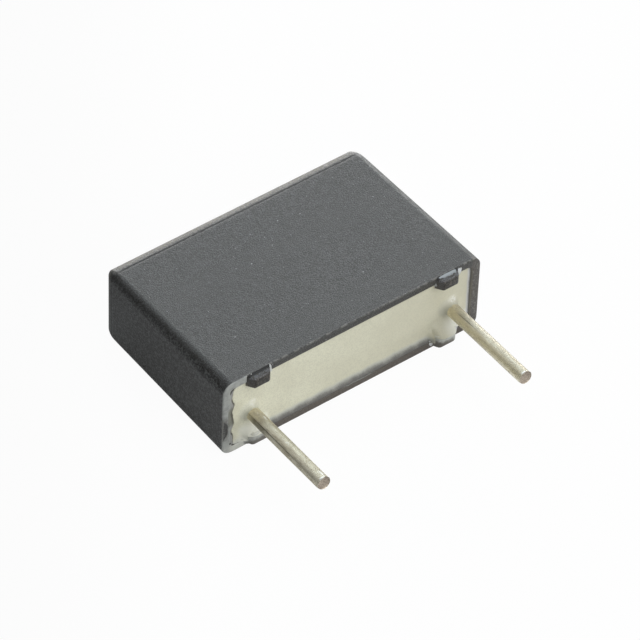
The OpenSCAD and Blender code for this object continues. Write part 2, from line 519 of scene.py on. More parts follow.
def apply_modifiers(piece):
    """Puts the result of the modifiers into the mesh."""
    bpy.context.view_layer.update()
    graph = bpy.context.evaluated_depsgraph_get()
    made = bpy.data.meshes.new_from_object(
        piece.evaluated_get(graph), preserve_all_data_layers=True, depsgraph=graph)
    old = piece.data
    piece.modifiers.clear()
    piece.data = made
    made.name = piece.name
    bpy.data.meshes.remove(old)


def clean(piece):
    """Takes away the needle faces and doubled flaps that joining and cutting leave."""
    needle = 3e-4 * MM
    bm = bmesh.new()
    bm.from_mesh(piece.data)
    bmesh.ops.remove_doubles(bm, verts=bm.verts, dist=needle)
    bmesh.ops.dissolve_degenerate(bm, edges=bm.edges, dist=needle)
    many_sided = [face for face in bm.faces if len(face.verts) > 4]
    bmesh.ops.triangulate(bm, faces=many_sided, ngon_method="BEAUTY")
    bmesh.ops.dissolve_degenerate(bm, edges=bm.edges, dist=needle)
    bmesh.ops.dissolve_verts(bm, verts=[vert for vert in bm.verts if len(vert.link_edges) == 2])
    flaps = hanging_faces(bm)
    while flaps:
        bmesh.ops.delete(bm, geom=flaps, context="FACES")
        flaps = hanging_faces(bm)
    bm.to_mesh(piece.data)
    bm.free()


def hanging_faces(bm):
    """Faces that hang on a closed skin by an edge."""
    return [face for face in bm.faces if any(edge.is_boundary for edge in face.edges)]


def smooth(piece, sharp=None):
    """Smooth shading; edges above the sharp angle, in degrees, stay sharp."""
    mesh = piece.data
    mesh.polygons.foreach_set("use_smooth", [True] * len(mesh.polygons))
    if sharp:
        mesh.set_sharp_from_angle(angle=math.radians(sharp))


def flatten(piece):
    """Turns the normals so that large flat faces look flat."""
    weighted = piece.modifiers.new("flat faces", "WEIGHTED_NORMAL")
    weighted.keep_sharp = True
    weighted.weight = 80
    apply_modifiers(piece)


def cover(piece, material):
    """Gives an object one material."""
    piece.data.materials.clear()
    piece.data.materials.append(material)


def dress(piece, material, slot, *nodes):
    """Gives a piece its material, and rides it on the part in place of CAD nodes."""
    cover(piece, material)
    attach(piece, "root")
    if nodes:
        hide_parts(*nodes)


class Moulding:
    """A moulded form with drafted sides and a back with round edges."""

    def __init__(self, long, thick, deep, r, back):
        self.half_x, self.half_z = long / 2, thick / 2
        self.r, self.back, self.straight = r, back, deep - back
        self.slope = math.tan(case.draft)
        self.start = math.atan(self.slope * back / r)
        self.rim = (r * math.cos(self.start)
                    + (self.straight + back * math.sin(self.start)) * self.slope)

    def flank(self, depth):
        """Half sizes and corner radius of the drafted sides at a depth."""
        inset = depth * self.slope
        return self.half_x - inset, self.half_z - inset, self.rim - inset

    def dome(self, steps):
        """Half sizes, corner radius and depth of the sections round the back's edge."""
        sections = []
        for k in range(steps + 1):
            v = self.start + (math.pi / 2 - self.start) * k / steps
            r = self.r * math.cos(v)
            sections.append((self.half_x - self.rim + r, self.half_z - self.rim + r,
                             r, self.straight + self.back * math.sin(v)))
        return sections


def case_form():
    """Outer form of the case."""
    return Moulding(case.long, case.thick, case.deep, case.edge_r, case.back_r)


def case_rings(bm):
    """Rings of the case from its closed back over the rim to the cavity's floor."""
    outer = case_form()
    hollow = Moulding(case.long - 2 * case.wall, case.thick - 2 * case.wall,
                      case.deep - case.back_wall, case.cavity_r, case.cavity_r)
    f = case.rim_r
    quarter = [math.pi / 2 * k / 5 for k in range(6)]
    sections = outer.dome(18)[::-1]
    half_x, half_z, r = outer.flank(f)
    for q in quarter:
        inset = f - f * math.cos(q)
        sections.append((half_x - inset, half_z - inset, r - inset, f - f * math.sin(q)))
    half_x, half_z, r = hollow.flank(f)
    for q in quarter:
        inset = f - f * math.sin(q)
        sections.append((half_x + inset, half_z + inset, r + inset, f - f * math.cos(q)))
    sections += hollow.dome(6)
    return [ring(bm, *section) for section in sections]


def nub_ring(bm, side, depth, half, low, high):
    """Four corners of a section through a standoff at a depth."""
    middle = side * case.nub_x
    corners = ((-half, low), (half, low), (half, high), (-half, high))
    return [bm.verts.new((middle + x, depth, z)) for x, z in corners]


def standoff(bm, side, face):
    """One standoff with the rib behind it; returns its edges. Side is along X, face along Z."""
    top = case.thick / 2 - case.nub_step
    low = opening()[1] - case.rib
    inner_end, sunk = case.deep - 0.7 * case.back_wall, 0.21
    rings = [nub_ring(bm, side, depth, half, face * low, face * high) for depth, half, high in (
        (-case.nub_h, case.nub_tip / 2, top - case.nub_fall),
        (0.0, case.nub_root / 2, top),
        (inner_end, case.nub_root / 2, top - sunk))]
    solid(bm, rings)
    tip, root = rings[:2]
    edges = []
    for k in range(4):
        edges.append(bm.edges.get((tip[k], tip[(k + 1) % 4])))
        edges.append(bm.edges.get((tip[k], root[k])))
    return edges


class OBJECT_OT_capacitor_case(bpy.types.Operator):
    """Build the moulded case with its ribs, standoffs and rounded edges"""
    bl_idname = "object.capacitor_case"
    bl_label = "Case"

    def execute(self, context):
        bm = bmesh.new()
        solid(bm, case_rings(bm))
        piece = finish_mesh(bm, "case_moulding")
        bm = bmesh.new()
        edges = []
        for side in SIDES:
            for face in SIDES:
                edges += standoff(bm, side, face)
        bmesh.ops.bevel(bm, geom=edges, offset=NUB_EDGE, segments=5, profile=0.5, affect="EDGES")
        combine(piece, finish_mesh(bm, "standoffs"), "UNION")
        clean(piece)
        smooth(piece, sharp=35)
        flatten(piece)
        dress(piece, case_finish(), "case_plastic", "case")
        return {"FINISHED"}


def case_finish():
    """Dark grey plastic with a fine matte grain, pale specks, a rubbed rim, and rough back edges
    paler in a painted highlight.
    """
    half_x, half_z, slope = case.long / 2, case.thick / 2, math.tan(case.draft)
    f, (x, y, z) = new_finish("case_plastic", case.plastic)
    fine = f.clouds(19.0, 2.0, 0.6)
    coarse = f.clouds(9.0, 2.0, 0.6)
    patchy = f.clouds(5.0, 4.0, 0.65)
    broad = f.clouds(4.0, 2.0)
    cloud = f.clouds(0.35, 2.0)

    # Grain and specks all over, stronger grain on the left end
    f.paint((fine * 0.85 + broad * 0.15).ease(0.38, 0.67), case.grain)
    specks = f.dots(3.0, 0.08)
    for scale, size, share in ((4.6, 0.09, 0.7), (6.5, 0.12, 0.5)):
        specks = specks.most(f.dots(scale, size) * share)
    f.paint(specks * 0.45, case.speck)
    peaks = (fine * 0.4 + coarse * 0.6).ease(0.47, 0.58)
    f.paint(x.ease(-6.2, -6.35) * peaks * 0.95, case.grain_end)

    # Front of the rim: brown on the lower side, mottled on the right end
    right = x.ease(5.95, 6.05)
    front = (y - right * 0.14).ease(0.02, -0.01) * y.ease(-0.06, -0.03)
    lower = z.ease(1.7, 1.4) * x.ease(-6.05, -5.85) * (1.0 - right * 0.9)
    f.paint(front * (lower * 0.78 + 0.04 + right * 0.28), case.rim)
    scuffs = (fine * 0.6 + coarse * 0.4).ease(0.52, 0.64)
    f.paint(front * scuffs * (lower * 0.2 + right * 0.2 + 0.2), case.worn)
    f.paint(front * right * coarse.ease(0.52, 0.66) * 0.5, case.worn)
    f.paint(front * right * coarse.ease(0.46, 0.34) * 0.6, case.plastic)
    # Painted light on the shaded inside of the right end wall
    inside = x.ease(6.25, 6.15) * abs(z).ease(half_z - 0.16, half_z - 0.26)
    f.paint(right * inside * y.ease(0.0, 0.03), case.lit_wall)
    f.paint(y.ease(-0.02, -0.06) * 0.18, case.rim)

    # Rubbed outer edge of the rim
    edge = (abs(z) + y * slope - (half_z - 0.06)).most(abs(x) + y * slope - (half_x - 0.06))
    rubbed = edge.ease(-0.02, 0.03) * y.ease(0.10, 0.02)
    f.paint(rubbed * (patchy * 0.6 + coarse * 0.4).ease(0.42, 0.58) * 0.6, case.worn)

    # Streak of resin on the lower rim
    inner = opening()[1]
    streak = abs(z + inner + 0.04 + (patchy - 0.5) * 0.10 + x * 0.012).ease(0.034, 0.012)
    streak = streak * abs(x - 0.35).ease(0.95, 0.45) * y.ease(0.08, 0.05)
    f.paint(streak * coarse.ease(0.30, 0.50) * 0.9, case.streak)

    # Standoffs: outer faces with dust and a painted sheen, and dark tips
    crown = y.ease(-0.05, -0.10) * abs(z).ease(half_z - 0.20, half_z - 0.13)
    f.paint(crown * (coarse * 0.5 + fine * 0.5).ease(0.42, 0.58) * 0.9, case.crown)
    tip = y.ease(-0.24, -0.29)
    f.paint(tip * 0.9, case.tip)
    f.paint(tip * (coarse * 0.4 + fine * 0.6).ease(0.50, 0.60) * 0.6, case.rim)

    # Back edges: rough and paler in a granular painted highlight, with a painted shadow line in
    # front of them
    along = abs(x).ease(half_x - 0.40, half_x - 0.75) * 0.58 + 0.42
    ragged = y + patchy * 0.08 + (coarse - 0.5) * 0.10
    brow = (abs(z) - half_z).most(abs(x) - half_x)
    back = ragged.ease(case.deep - 0.47, case.deep - 0.22) * along * brow.ease(-0.75, -0.45)
    crease = abs(ragged - (case.deep - 0.50)).ease(0.07, 0.03) * along
    f.paint(back * (coarse * 2.6 + fine * 1.2 - 1.3), case.back)
    f.paint(crease * patchy.ease(0.30, 0.45) * 0.9, case.seam)

    # Painted shadow line in the step behind each standoff
    step = abs(y + 0.025 + (coarse - 0.5) * 0.10).ease(0.075, 0.045)
    step = step * abs(abs(x) - case.nub_x).ease(0.57, 0.50)
    step = step * abs(z).ease(half_z - 0.13, half_z - 0.08)
    f.paint(step * 0.95, case.seam)

    rough = 0.29 + fine * 0.14 + cloud * 0.06 + crease * 0.3 + back * coarse.ease(0.35, 0.62) * 0.3
    relief = f.bump(broad - crease + back * coarse * 3.0, 0.012, 0.6)
    return f.close(Roughness=rough, Normal=f.bump(fine, 0.016, 1.0, relief))


def collar_height(r, foot, height):
    """Height of a concave fillet that rises to a wall over its foot."""
    if r >= foot:
        return 0.0
    return height * (1.0 - arch(1.0 - max(r, 0.0) / foot, 2))


def crack(z, sine=math.sin):
    """Distance from the case's left end of the crack where the resin broke from the wall."""
    return (CRACK + 0.05 * sine(6.6 * z - 2.39) + 0.018 * sine(11.3 * z + 1.1)
            + 0.006 * sine(23.0 * z))


def wall_gap(x, z):
    """Distance of a place on the resin from the nearest wall or rib."""
    half_x, half_z = opening()
    qx, qz = abs(x) - (half_x - RESIN_CORNER), abs(z) - (half_z - RESIN_CORNER)
    walls = RESIN_CORNER - math.hypot(max(qx, 0.0), max(qz, 0.0)) - min(max(qx, qz), 0.0)
    ribs = math.hypot(max(abs(abs(x) - case.nub_x) - case.nub_root / 2, 0.0),
                      max(half_z - case.rib - abs(z), 0.0))
    return min(walls, ribs)


def resin_front(x, z):
    """Depth of the resin surface below the rim at a place."""
    crest = case.rib - opening()[1]

    # Creep up the walls: higher along the lower wall, less at the right end
    low = 1.0 if z < -0.8 else 0.0
    rise = resin.creep * (1.0 + 0.35 * lumps(x, z, 0.9, 4.0)
                          + low * (0.6 + 0.6 * ease(x, -4.0, -5.0)))
    rise *= 1.0 - 0.7 * clamp((x - 5.0) / 0.8)
    rise = min(rise, resin.recess - 0.006)
    depth = resin.recess - collar_height(wall_gap(x, z), resin.creep_w, rise)

    # Ramps up to the lower standoffs, and a bead beside the right one
    for side in SIDES:
        off = x - side * case.nub_x
        gentle = side == LEFT and off < 0.0
        beside = bell(off, 0.66, 4) if gentle else bell(off, 0.5, 6)
        depth -= RAMPS[side] * beside * ease(z, -0.72, crest)
        flank = -case.nub_root / 2 - off
        if side == RIGHT and 0.0 <= flank < 0.5:
            depth -= 0.16 * bell(flank, 0.12) * ease(z, -1.0, crest)

    # Collars round the leads
    for side in SIDES:
        reach = math.hypot(x - side * lead.pitch / 2, z + lead.drop) - lead.diameter / 2
        depth -= collar_height(reach, resin.collar_w, resin.collar)

    # Rise towards the crack, the ledge behind it, and the crack itself
    split = case.long / 2 + x - crack(z)
    depth -= 0.12 * math.exp(-max(split, 0.0) / 0.35) * min(depth / resin.recess, 1.0)
    depth -= clamp(0.5 - split / 0.05) * max(depth - 0.010, 0.0)
    depth += 0.06 * bell(split, 0.03) * ease(z, -1.5, -1.3)
    return depth + 0.010 * noise.noise((x * 0.7, z * 0.8, 1.0)) + 0.004 * lumps(x, z, 2.6, 8.0)


def spread(low, high, step, dense):
    """Grid lines from low to high, closer together inside the dense stretches."""
    lines = [low]
    while lines[-1] < high - 1e-6:
        here = lines[-1]
        close = any(a <= here + 1e-9 < b for a, b in dense)
        stops = [v for a, b in dense for v in (a, b) if v > here + 1e-6] + [high]
        lines.append(min(here + (step * 0.4 if close else step), min(stops)))
    return lines


class OBJECT_OT_capacitor_resin(bpy.types.Operator):
    """Build the cast resin with its uneven front, the rise at the walls and the lead collars"""
    bl_idname = "object.capacitor_resin"
    bl_label = "Cast resin"

    def execute(self, context):
        bm = bmesh.new()
        self.front(bm)
        self.sides(bm)
        piece = finish_mesh(bm, "resin_casting", weld=1e-5)
        combine(piece, roll_tool(), "DIFFERENCE")
        combine(piece, wire_tool(), "DIFFERENCE")
        clean(piece)
        smooth(piece, sharp=50)
        dress(piece, resin_finish(), "casting_resin", "resin_fill")
        return {"FINISHED"}

    def columns(self):
        """Places along the case, each with whether a rib stands there; doubled at its flanks."""
        half, half_rib = opening()[0], case.nub_root / 2
        starts = [side * case.nub_x - half_rib for side in SIDES]
        ends = [side * case.nub_x + half_rib for side in SIDES]
        dense = [(-half, -half + 0.35)]
        for side in SIDES:
            axis = side * lead.pitch / 2
            dense.append((axis - NEAR_LEAD, axis + NEAR_LEAD))
        xs = [x for x in spread(-half, half, GRID, dense)
              if min(abs(x - e) for e in starts + ends) > 0.008]
        found = []
        for x in sorted(xs + starts + ends):
            if x in starts:
                found += [(x, False), (x, True)]
            elif x in ends:
                found += [(x, True), (x, False)]
            else:
                found.append((x, abs(abs(x) - case.nub_x) < half_rib))
        return found

    def front(self, bm):
        """Uneven front of the casting, with the grid drawn along the crack."""
        half_x, half_z = opening()
        crest = half_z - case.rib
        zs = spread(-half_z, half_z, GRID, [(-lead.drop - NEAR_LEAD, -lead.drop + NEAR_LEAD)])
        zs = sorted(set([round(z, 6) for z in zs] + [-crest, crest]))
        columns = self.columns()
        lines = []
        for x, in_rib in columns:
            over = max(abs(x) - (half_x - RESIN_CORNER), 0.0)
            bow = math.sqrt(max(RESIN_CORNER ** 2 - over ** 2, 0.0))
            limit = crest if in_rib else half_z - RESIN_CORNER + bow
            pull = ease_between(case.long / 2 + x, case.wall, CRACK, CRACK, CRACK + 0.4)
            line = []
            for z in zs:
                held = max(-limit, min(limit, z))
                clear = min((limit - abs(held)) / 0.25, 1.0)
                moved = x + (crack(held) - CRACK) * pull * clear
                line.append(bm.verts.new((moved, resin_front(moved, held), held)))
            lines.append(line)
        for one, two, here, there in zip(lines, lines[1:], columns, columns[1:]):
            if here[0] != there[0]:
                skin(bm, (one, two), closed=False)
        bmesh.ops.remove_doubles(bm, verts=bm.verts, dist=2e-4)

    def sides(self, bm):
        """Drafted sides and rounded back of the casting."""
        half_x, half_z = opening()
        floor = case.deep - case.back_wall
        slope = math.tan(case.draft)
        for depth, inset in ((floor - case.cavity_r, (floor - case.cavity_r) * slope),
                             (floor, floor * slope + case.cavity_r)):
            rim = [e for e in bm.edges if e.is_boundary]
            made = bmesh.ops.extrude_edge_only(bm, edges=rim)["geom"]
            for v in (g for g in made if isinstance(g, bmesh.types.BMVert)):
                v.co.y = depth
                if abs(v.co.x) > half_x - 0.4:
                    v.co.x = math.copysign(min(abs(v.co.x), half_x - inset), v.co.x)
                v.co.z = math.copysign(min(abs(v.co.z), half_z - inset), v.co.z)
        bmesh.ops.contextual_create(bm, geom=[e for e in bm.edges if e.is_boundary])


def roll_tool():
    """Space that the winding and its contacts take."""
    flat, r = (wind.deep - wind.thick) / 2, wind.thick / 2
    middle = wind.front + wind.deep / 2
    points = []
    for centre, start in ((middle + flat, -90), (middle - flat, 90)):
        for k in range(17):
            t = math.radians(start + 180 * k / 16)
            points.append((centre + r * math.cos(t), r * math.sin(t)))
    bm = bmesh.new()
    solid(bm, [[bm.verts.new((x, depth, z)) for depth, z in points]
               for x in (-wind.half, wind.half)])
    return finish_mesh(bm, "roll_tool")


def wire_ring(bm, side, count, reach, depth):
    """Ring round a lead's axis; reach and depth are functions of the angle."""
    axis = side * lead.pitch / 2
    turns = [math.tau * k / count for k in range(count)]
    return [bm.verts.new((axis + reach(t) * math.cos(t), depth(t),
                          -lead.drop + reach(t) * math.sin(t))) for t in turns]


def wire_tool():
    """Space that the two wires take."""
    r = lead.diameter / 2
    bm = bmesh.new()
    for side in SIDES:
        solid(bm, [wire_ring(bm, side, 48, lambda t: r, lambda t: depth)
                   for depth in (-lead.tip, lead.end)])
    return finish_mesh(bm, "wire_tool")


def resin_finish():
    """Cream resin, slightly clouded, grey and bluish where it thins out at the walls."""
    half_x, half_z = opening()
    f, (x, _, z) = new_finish("casting_resin", resin.cream)
    fine = f.clouds(9.0, 3.0, 0.6)
    cloud = f.clouds(0.8, 3.0, 0.55)
    grain = f.clouds(17.0, 2.0, 0.6)
    wobble = f.clouds(2.0, 2.0) - 0.5
    f.paint(cloud.ease(0.35, 0.7) * 0.3, resin.cream_deep)
    # Painted shade: the resin darker towards the right end
    f.paint(x.ease(-5.0, 7.5) * 0.9, resin.cream_deep)
    f.paint(x.ease(-5.2, -5.9) * 0.4, resin.cream_deep)
    f.paint((grain * 0.8 + fine * 0.2).ease(0.44, 0.60) * 0.44, resin.cream_grain)

    # Thin film at the lower wall, and painted light on the ramps to the lower standoffs
    below = half_z + z + wobble * 0.16 + (grain - 0.5) * 0.10
    clear = abs(x - case.nub_x).ease(0.50, 0.75) * x.ease(-4.3, -3.9)
    f.paint(below.ease(0.34, 0.14) * (clear * 0.6 + 0.2), resin.thin)
    f.paint(below.ease(0.235, 0.0) * clear, resin.thinnest)
    f.paint(below.ease(0.22, 0.02) * x.ease(-4.95, -5.2) * 0.7, resin.thin)
    ramps = (x - case.nub_x + wobble * 0.3).ease(-0.35, 0.30)
    ramps = ramps + abs(x + case.nub_x + 0.1).ease(0.9, 0.5)
    f.paint(ramps * z.ease(-0.75, -1.10) * 0.8, resin.glaze)

    # Thin film at the upper and the right wall, with a painted highlight along the right wall
    above = half_z - z + wobble * 0.10
    f.paint(above.ease(0.16, 0.0) * 0.6, resin.thin)
    right = half_x - x + wobble * 0.05 + (grain - 0.5) * 0.06
    # Painted highlight along the rise at the right wall
    f.paint(right.ease(0.20, 0.06) * 0.8, resin.pale)
    f.paint(right.ease(0.09, 0.0) * 0.8, resin.thinnest)

    # Painted shade round the collars, and painted glints above the roots of the leads
    torn = (grain * 0.5 + fine * 0.5).ease(0.42, 0.58)
    for side in SIDES:
        u, w = x - side * lead.pitch / 2 + 0.05, z + lead.drop
        reach = (u * u + w * w).root() + wobble * 0.12
        # Painted shade round the collar
        f.paint(reach.ease(0.60, 0.32) * 0.25, resin.thin)
        # Painted glints above the root
        aside, up = u - 0.18, w - 0.41
        flake = (aside * aside * 0.4 + up * up).root() + wobble * 0.15
        f.paint(flake.ease(0.17, 0.05) * torn * 0.55, resin.flake)

    # Crack with its painted shadow, and the ledge between it and the left wall
    split = x + case.long / 2 - crack(z, Value.sine)
    # Darker olive in the middle of the ledge, where the crack widens
    ledge = f.mix(abs(z - 0.05).ease(0.65, 0.35) * 0.85, resin.ledge, resin.olive)
    f.paint((split + wobble * 0.03).ease(0.02, -0.01), ledge)
    gape = 0.032 + 0.022 * abs(z - 0.1).ease(0.7, 0.3)
    seam = (abs(split + 0.022 + wobble * 0.04) - gape).ease(0.02, -0.01)
    f.paint(seam * z.ease(-1.5, -1.35) * 0.9, resin.crack)
    return f.close(Roughness=0.42 + fine * 0.14, Normal=f.bump(fine, 0.006, 0.5))


def rim_place(along, inset):
    """Place on the rim's left end: along from the upper standoff, inset from the outer edge."""
    r = case_form().rim
    cx, cz = case.long / 2 - r, case.thick / 2 - r
    flat = cx - case.nub_x - case.nub_root / 2
    turn, fall = r * math.pi / 2, 2 * cz
    reach = max(r - inset, 0.02)
    if along < flat:
        return -cx + flat - along, cz + r - inset
    along -= flat
    if along < turn:
        return -cx - reach * math.sin(along / r), cz + reach * math.cos(along / r)
    along -= turn
    if along < fall:
        return -cx - r + inset, cz - along
    along -= fall
    if along < turn:
        return -cx - reach * math.cos(along / r), -cz - reach * math.sin(along / r)
    return -cx + along - turn, -cz - r + inset


def rim_depth(inset):
    """Depth of the rim's surface at a distance from its outer edge."""
    f = case.rim_r
    over = max(f - inset, inset - (case.wall - f), 0.0)
    if over >= f:
        return f + 0.3 * (over - f)
    return f - math.sqrt(f * f - over * over)


def border(rows):
    """Points round the edge of a grid of points."""
    return (rows[0] + [row[-1] for row in rows[1:]] + rows[-1][-2::-1]
            + [row[0] for row in rows[-2:0:-1]])


def film(bm, start, end, outer, inner, thick, seed):
    """Thin uneven film of resin on the left end of the rim, between two edges."""
    count, across = 150, 16
    tops, feet = [], []
    for i in range(count + 1):
        along = start + (end - start) * i / count
        low, high = outer(along), inner(along)
        fade = min(1.0, 12.0 * i / count, 12.0 * (count - i) / count)
        tops.append([])
        feet.append([])
        for j in range(across + 1):
            w = j / across
            inset = low + (high - low) * w
            x, z = rim_place(along, inset)
            lump = 0.75 + 0.5 * lumps(x, z, 3.0, seed) + 0.2 * lumps(x, z, 9.0, seed)
            rise = thick * lump * arch(2.0 * w - 1.0, 3) * math.sqrt(fade)
            bed = min(rim_depth(inset), 0.012) if w > 0.5 else rim_depth(inset)
            tops[-1].append(bm.verts.new((x, bed - 0.001 - rise, z)))
            feet[-1].append(bm.verts.new((x, bed + 0.012, z)))
    skin(bm, tops, closed=False)
    skin(bm, feet, closed=False)
    skin(bm, [border(tops), border(feet)])


def wander(along, size, seed):
    """Uneven edge of a film."""
    waves = noise.noise((along * 2.2, seed, 0.0))
    return size * (waves + 0.5 * noise.noise((along * 6.0, seed, 3.0)))


def smear_outer(along):
    """Outer edge of the smear, which leaves a bare patch on the end wall."""
    bare = ease_between(along, 2.75, 3.25, 3.65, 4.15)
    return max(0.004, 0.006 + 0.25 * bare + wander(along, 0.08, 2.0) * bare)


def smear_inner(along):
    """Inner edge of the smear, along the crack."""
    ends = ease_between(along, 0.55, 1.5, 4.4, 5.3)
    upper = ease_between(along, 0.70, 1.02, 1.06, 1.40)
    lower = ease_between(along, 4.35, 4.65, 4.92, 5.22)
    corners = 0.09 * upper + 0.13 * lower
    return case.wall - 0.02 + ends * 0.04 + corners + wander(along, 0.02, 5.0)


def corner_fillet(bm, side, face, run, rise, taper, reach):
    """Sliver of resin in the corner between a standoff's flank and the rim; run is -1 or 1."""
    foot = side * case.nub_x + run * case.nub_root / 2
    lean = (case.nub_root - case.nub_tip) / 2 / case.nub_h
    low, high = opening()[1] - 0.05, opening()[1] + reach
    seed = 3.0 * side + face
    rings = []
    for k in range(13):
        t = k / 12
        z = low + (high - low) * t
        uneven = 1.0 + 0.35 * noise.noise((foot, z * 6.0, seed))
        size = max(rise * (1.0 - taper * t) * arch(t, 6) * uneven, 0.004)
        points = [(foot - run * 0.03, 0.03), (foot + run * size, 0.02)]
        points += curve((foot + run * size, -0.002), (foot + run * 0.12 * size, -0.15 * size),
                        (foot - run * lean * size, -size))
        points.append((foot - run * (0.03 + lean * size), -size * 0.95))
        rings.append([bm.verts.new((x, y, face * z)) for x, y in points])
    solid(bm, rings)


def step_fillet(bm):
    """Glossy run of resin in the step behind the upper right standoff."""
    top = case.thick / 2 - case.nub_step
    fall = case.nub_fall / case.nub_h
    rings = []
    for k in range(41):
        t = k / 40
        x = case.nub_x - 0.44 + 0.86 * t
        body = arch(2 * t - 1, 4) * (1.0 + 0.25 * noise.noise((x * 4, 2.0, 7.0)))
        ragged = 1.0 + 0.5 * noise.noise((x * 9.0, 5.0, 1.0))
        wide = max(0.15 * body * ragged * (0.5 + 0.5 * t), 0.004)
        high = max(0.035 * body, 0.002)
        points = [(0.03, top - 0.03), (0.03, top + high - 0.004)]
        points += curve((-0.002, top + high), (-0.25 * wide, top + 0.2 * high),
                        (-wide, top - wide * fall + 0.001))
        points.append((-wide, top - wide * fall - 0.02))
        rings.append([bm.verts.new((x, y, z)) for y, z in points])
    solid(bm, rings)


def nub_coat(bm, side):
    """Resin drawn over the inner face and the tip of a lower standoff."""
    low = -(opening()[1] - case.rib) + 0.10
    high = COAT_TOPS[side] - case.thick / 2
    body = bmesh.new()
    solid(body, [nub_ring(body, side, depth, half, low, high) for depth, half in (
        (-case.nub_h - 0.01, case.nub_tip / 2 + 0.03), (0.05, case.nub_root / 2 + 0.04))])
    bmesh.ops.bevel(
        body, geom=body.edges, offset=COAT_EDGE, segments=6, profile=0.5, affect="EDGES")
    made = bpy.data.meshes.new("coat")
    body.to_mesh(made)
    body.free()
    bm.from_mesh(made)
    bpy.data.meshes.remove(made)


def drop(bm, x, z, size):
    """Small flat drop of resin on the rim's edge."""
    flattened = Matrix.Diagonal((size, size * 0.8, size * 0.7, 1.0))
    spot = Matrix.Translation((x, 0.006, z)) @ flattened
    bmesh.ops.create_icosphere(bm, subdivisions=2, radius=1.0, matrix=spot)


class OBJECT_OT_capacitor_traces(bpy.types.Operator):
    """Build the resin left on the rim: the smear at the left end, the slivers at the standoffs"""
    bl_idname = "object.capacitor_traces"
    bl_label = "Resin traces"

    def execute(self, context):
        bm = bmesh.new()
        film(bm, 0.0, 5.95, smear_outer, smear_inner, thick=0.024, seed=1.0)
        film(bm, 2.85, 4.3, lambda along: 0.004, lambda along: 0.055 + wander(along, 0.02, 8.0),
             thick=0.010, seed=2.0)
        smear = finish_mesh(bm, "resin_smear", weld=1e-5)
        smooth(smear)
        dress(smear, smear_finish(), "casting_resin")

        bm = bmesh.new()
        for sliver in SLIVERS:
            corner_fillet(bm, *sliver)
        step_fillet(bm)
        for side in SIDES:
            nub_coat(bm, side)
        for spot in DROPS:
            drop(bm, *spot)
        slivers = finish_mesh(bm, "resin_slivers", weld=1e-5)
        smooth(slivers, sharp=60)
        dress(slivers, sliver_finish(), "casting_resin")
        return {"FINISHED"}


def smear_finish():
    """Greyish film of resin, uneven in thickness."""
    half_x = case.long / 2
    f, (x, _, z) = new_finish("resin_smear", resin.smear)
    fine = f.clouds(8.0, 3.0, 0.6)
    cloud = f.clouds(2.4, 3.0, 0.6)
    f.paint(cloud.ease(0.32, 0.62), resin.smear_thick)
    f.paint(z.ease(-1.35, -1.60) * 0.8, resin.coat_left)
    # Painted light on the shaded part of the film at the lower left corner
    f.paint(z.ease(-1.50, -1.65) * x.ease(-6.2, -5.9) * 0.5, resin.coat)
    # Darker olive near the crack's middle
    wedge = (x + half_x + (cloud - 0.5) * 0.10).ease(0.24, 0.32) * abs(z - 0.05).ease(0.65, 0.30)
    f.paint(wedge * 0.85, resin.olive)
    worn = abs(z + 0.45 + (fine - 0.5) * 0.3).ease(0.75, 0.40)
    worn = worn * (x + half_x + (fine - 0.5) * 0.2).ease(0.34, 0.20)
    f.paint(worn * 0.75, resin.thinnest)
    f.paint(fine.ease(0.60, 0.72) * 0.4, resin.thinnest)
    return f.close(Roughness=0.40 + fine * 0.15, Normal=f.bump(fine, 0.008, 0.6))


def sliver_finish():
    """Pale bluish resin of the slivers and runs; it thins out over the lower standoffs."""
    half_z = case.thick / 2
    f, (x, y, z) = new_finish("resin_slivers", resin.pale)
    fine = f.clouds(7.0, 3.0, 0.6)
    f.paint(fine.ease(0.40, 0.66), resin.thin)
    off = x - case.nub_x

    # Run in the step behind the upper right standoff, and the dim sliver beside it
    top = z.ease(half_z - 0.10, half_z - 0.06) * abs(off).ease(0.46, 0.42)
    f.paint(top * 0.8, resin.run)
    f.paint(top * (y + fine * 0.06).ease(-0.02, -0.11), resin.run_edge)
    dim = abs(off + case.nub_root / 2).ease(0.16, 0.12) * z.ease(0.0, 0.5)
    f.paint(dim * 0.85, resin.smear)

    # Coat of the lower left standoff
    low_left = x.ease(0.5, -0.5) * z.ease(0.0, -0.5)
    sink = z + y * 0.6 + 0.19 + (fine - 0.5) * 0.25
    f.paint(low_left, f.mix(sink.ease(-1.50, -1.14), resin.coat_left, resin.coat))
    f.paint(low_left * sink.ease(-1.45, -1.66) * y.ease(0.0, -0.04) * 0.9, resin.bare)

    # Coat of the lower right standoff
    coat = abs(off).ease(0.61, 0.58) * z.ease(0.0, -0.5)
    fall = z + off * 0.25 + fine * 0.12
    f.paint(coat, resin.coat)
    f.paint(coat * fall.ease(-1.30, -1.42), resin.thin)
    f.paint(coat * (fall + (fine - 0.5) * 0.2).ease(-1.45, -1.72), resin.bare)
    return f.close(Roughness=0.24 + fine * 0.15, Normal=f.bump(fine, 0.006, 0.5))


class OBJECT_OT_capacitor_leads(bpy.types.Operator):
    """Build the two tinned wires with drawing marks and cut tips"""
    bl_idname = "object.capacitor_leads"
    bl_label = "Leads"

    def execute(self, context):
        for side, name, node in (
                (LEFT, "wire_left", "lead_left"), (RIGHT, "wire_right", "lead_right")):
            dress(wire(side, name), lead_finish(side, name), "tinned_wire", node)
        return {"FINISHED"}


